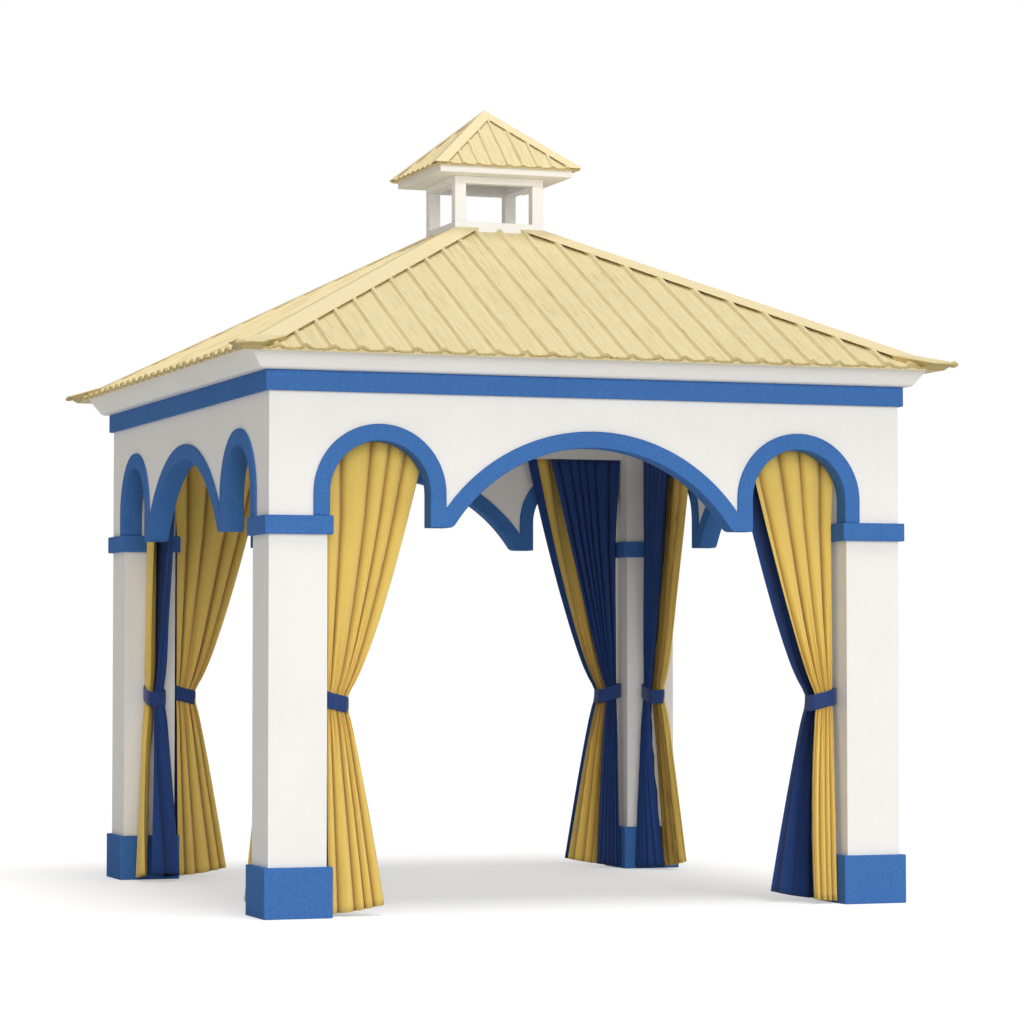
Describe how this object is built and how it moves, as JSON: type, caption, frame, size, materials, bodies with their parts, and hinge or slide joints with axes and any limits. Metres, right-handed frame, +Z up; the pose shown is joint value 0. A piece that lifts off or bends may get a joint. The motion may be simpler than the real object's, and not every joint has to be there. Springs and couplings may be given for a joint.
{
  "type": "garden pavilion",
  "caption": "Open square garden pavilion with arched walls, hanging pendants, tied-back curtains and a ribbed hip roof that carries an open lantern.",
  "frame": {"origin": "on the ground at the middle of the plan", "axes": "+Z up, +X to the right along the front wall, -Y to the front"},
  "size_m": [4.156, 4.156, 4.6415],
  "materials": {
    "wall_white": "smooth white paint on boarded timber",
    "frame_white": "matt white paint on the frame timbers and roof boards",
    "trim_blue": "matt blue paint with a fine texture",
    "roof_straw": "straw-coloured coated ribbed sheet",
    "cap_straw": "straw-coloured coated folded sheet",
    "lantern_white": "smooth white paint",
    "curtain_gold": "gold outdoor fabric",
    "curtain_navy": "navy outdoor fabric",
    "tie_blue": "blue fabric band"
  },
  "bodies": {
    "root": {"post_front_left": "wall_white", "post_front_right": "wall_white", "post_back_right": "wall_white", "post_back_left": "wall_white", "arch_panel_front": "wall_white", "arch_panel_right": "wall_white", "arch_panel_back": "wall_white", "arch_panel_left": "wall_white", "crown_front_back": "wall_white", "crown_sides": "wall_white", "header_beams": "frame_white", "wall_plates_front_back": "frame_white", "wall_plates_sides": "frame_white", "hip_rafters": "frame_white", "roof_boards_front_back": "frame_white", "roof_boards_sides": "frame_white", "plinths": "trim_blue", "capitals": "trim_blue", "arch_trim_front": "trim_blue", "arch_trim_right": "trim_blue", "arch_trim_back": "trim_blue", "arch_trim_left": "trim_blue", "frieze_front_back": "trim_blue", "frieze_sides": "trim_blue", "roof_sheet_front": "roof_straw", "roof_sheet_right": "roof_straw", "roof_sheet_back": "roof_straw", "roof_sheet_left": "roof_straw", "lantern_sheets_front_back": "roof_straw", "lantern_sheets_sides": "roof_straw", "hip_caps": "cap_straw", "lantern_hip_caps": "cap_straw", "lantern_sill": "lantern_white", "lantern_posts": "lantern_white", "lantern_header": "lantern_white", "lantern_eave": "lantern_white", "curtain_front_left": "curtain_gold", "curtain_front_right": "curtain_gold", "curtain_right_front": "curtain_gold", "curtain_right_back": "curtain_gold", "curtain_back_right": "curtain_gold", "curtain_back_left": "curtain_gold", "curtain_left_back": "curtain_gold", "curtain_left_front": "curtain_gold", "tie_backs": "tie_blue"}
  },
  "joints": []
}
